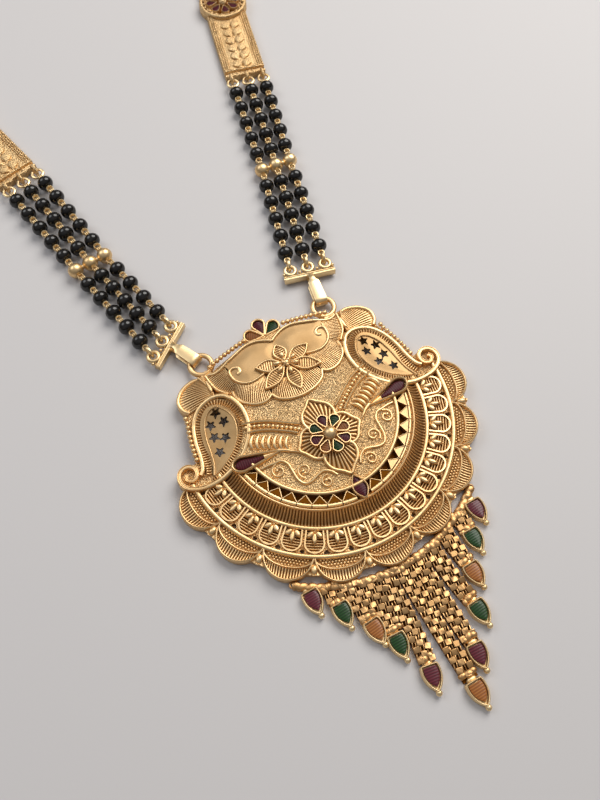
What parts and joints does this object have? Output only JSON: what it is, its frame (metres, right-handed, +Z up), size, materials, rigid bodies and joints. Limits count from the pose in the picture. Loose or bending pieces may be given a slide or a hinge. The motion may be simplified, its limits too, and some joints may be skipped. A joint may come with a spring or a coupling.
{
  "type": "mangalsutra necklace",
  "caption": "Gold-coloured mangalsutra necklace: pierced domed pendant with enamel flower, box-chain fringe with drops, and strands of black beads.",
  "frame": {"origin": "middle of the flat back of the pendant, under the row of arches below the dome", "axes": "+Z up from the table the necklace lies on, +Y from the pendant towards the back chain, +X towards the pendant's right-hand scallops seen from above"},
  "size_m": [0.1108, 0.3038, 0.0074],
  "materials": {
    "gold_cast": "polished",
    "gold_wire": "polished",
    "gold_chain": "polished",
    "black_glass": "gloss",
    "enamel_maroon": "gloss",
    "enamel_green": "gloss",
    "enamel_orange": "gloss"
  },
  "bodies": {
    "root": {"pendant_plate": "gold_cast", "leaf_enamel_left": "enamel_maroon", "leaf_enamel_right": "enamel_maroon", "leaf_enamel_lower": "enamel_maroon", "crest_enamel_1": "enamel_orange", "crest_enamel_2": "enamel_maroon", "crest_enamel_3": "enamel_green", "flower_enamel_1": "enamel_maroon", "flower_enamel_2": "enamel_green", "flower_enamel_3": "enamel_orange", "flower_enamel_4": "enamel_maroon", "flower_enamel_5": "enamel_green", "flower_enamel_6": "enamel_orange", "flower_enamel_7": "enamel_maroon", "flower_enamel_8": "enamel_green", "fringe": "gold_cast", "drop_1": "gold_cast", "drop_2": "gold_cast", "drop_3": "gold_cast", "drop_4": "gold_cast", "drop_5": "gold_cast", "drop_6": "gold_cast", "drop_7": "gold_cast", "drop_8": "gold_cast", "drop_9": "gold_cast", "drop_10": "gold_cast", "drop_11": "gold_cast", "drop_enamel_1": "enamel_maroon", "drop_enamel_2": "enamel_green", "drop_enamel_3": "enamel_orange", "drop_enamel_4": "enamel_green", "drop_enamel_5": "enamel_maroon", "drop_enamel_6": "enamel_orange", "drop_enamel_7": "enamel_maroon", "drop_enamel_8": "enamel_green", "drop_enamel_9": "enamel_orange", "drop_enamel_10": "enamel_green", "drop_enamel_11": "enamel_maroon", "end_bar_left": "gold_cast", "end_bar_right": "gold_cast", "bead_string_left": "black_glass", "bead_string_right": "black_glass", "bead_pins_left": "gold_wire", "bead_pins_right": "gold_wire", "spacer_left": "gold_cast", "spacer_right": "gold_cast", "side_plate_left": "gold_cast", "side_plate_right": "gold_cast", "boss_enamel_left": "enamel_maroon", "boss_enamel_right": "enamel_maroon", "back_chain_left": "gold_chain", "back_chain_right": "gold_chain", "clasp_hook": "gold_chain"}
  },
  "joints": []
}
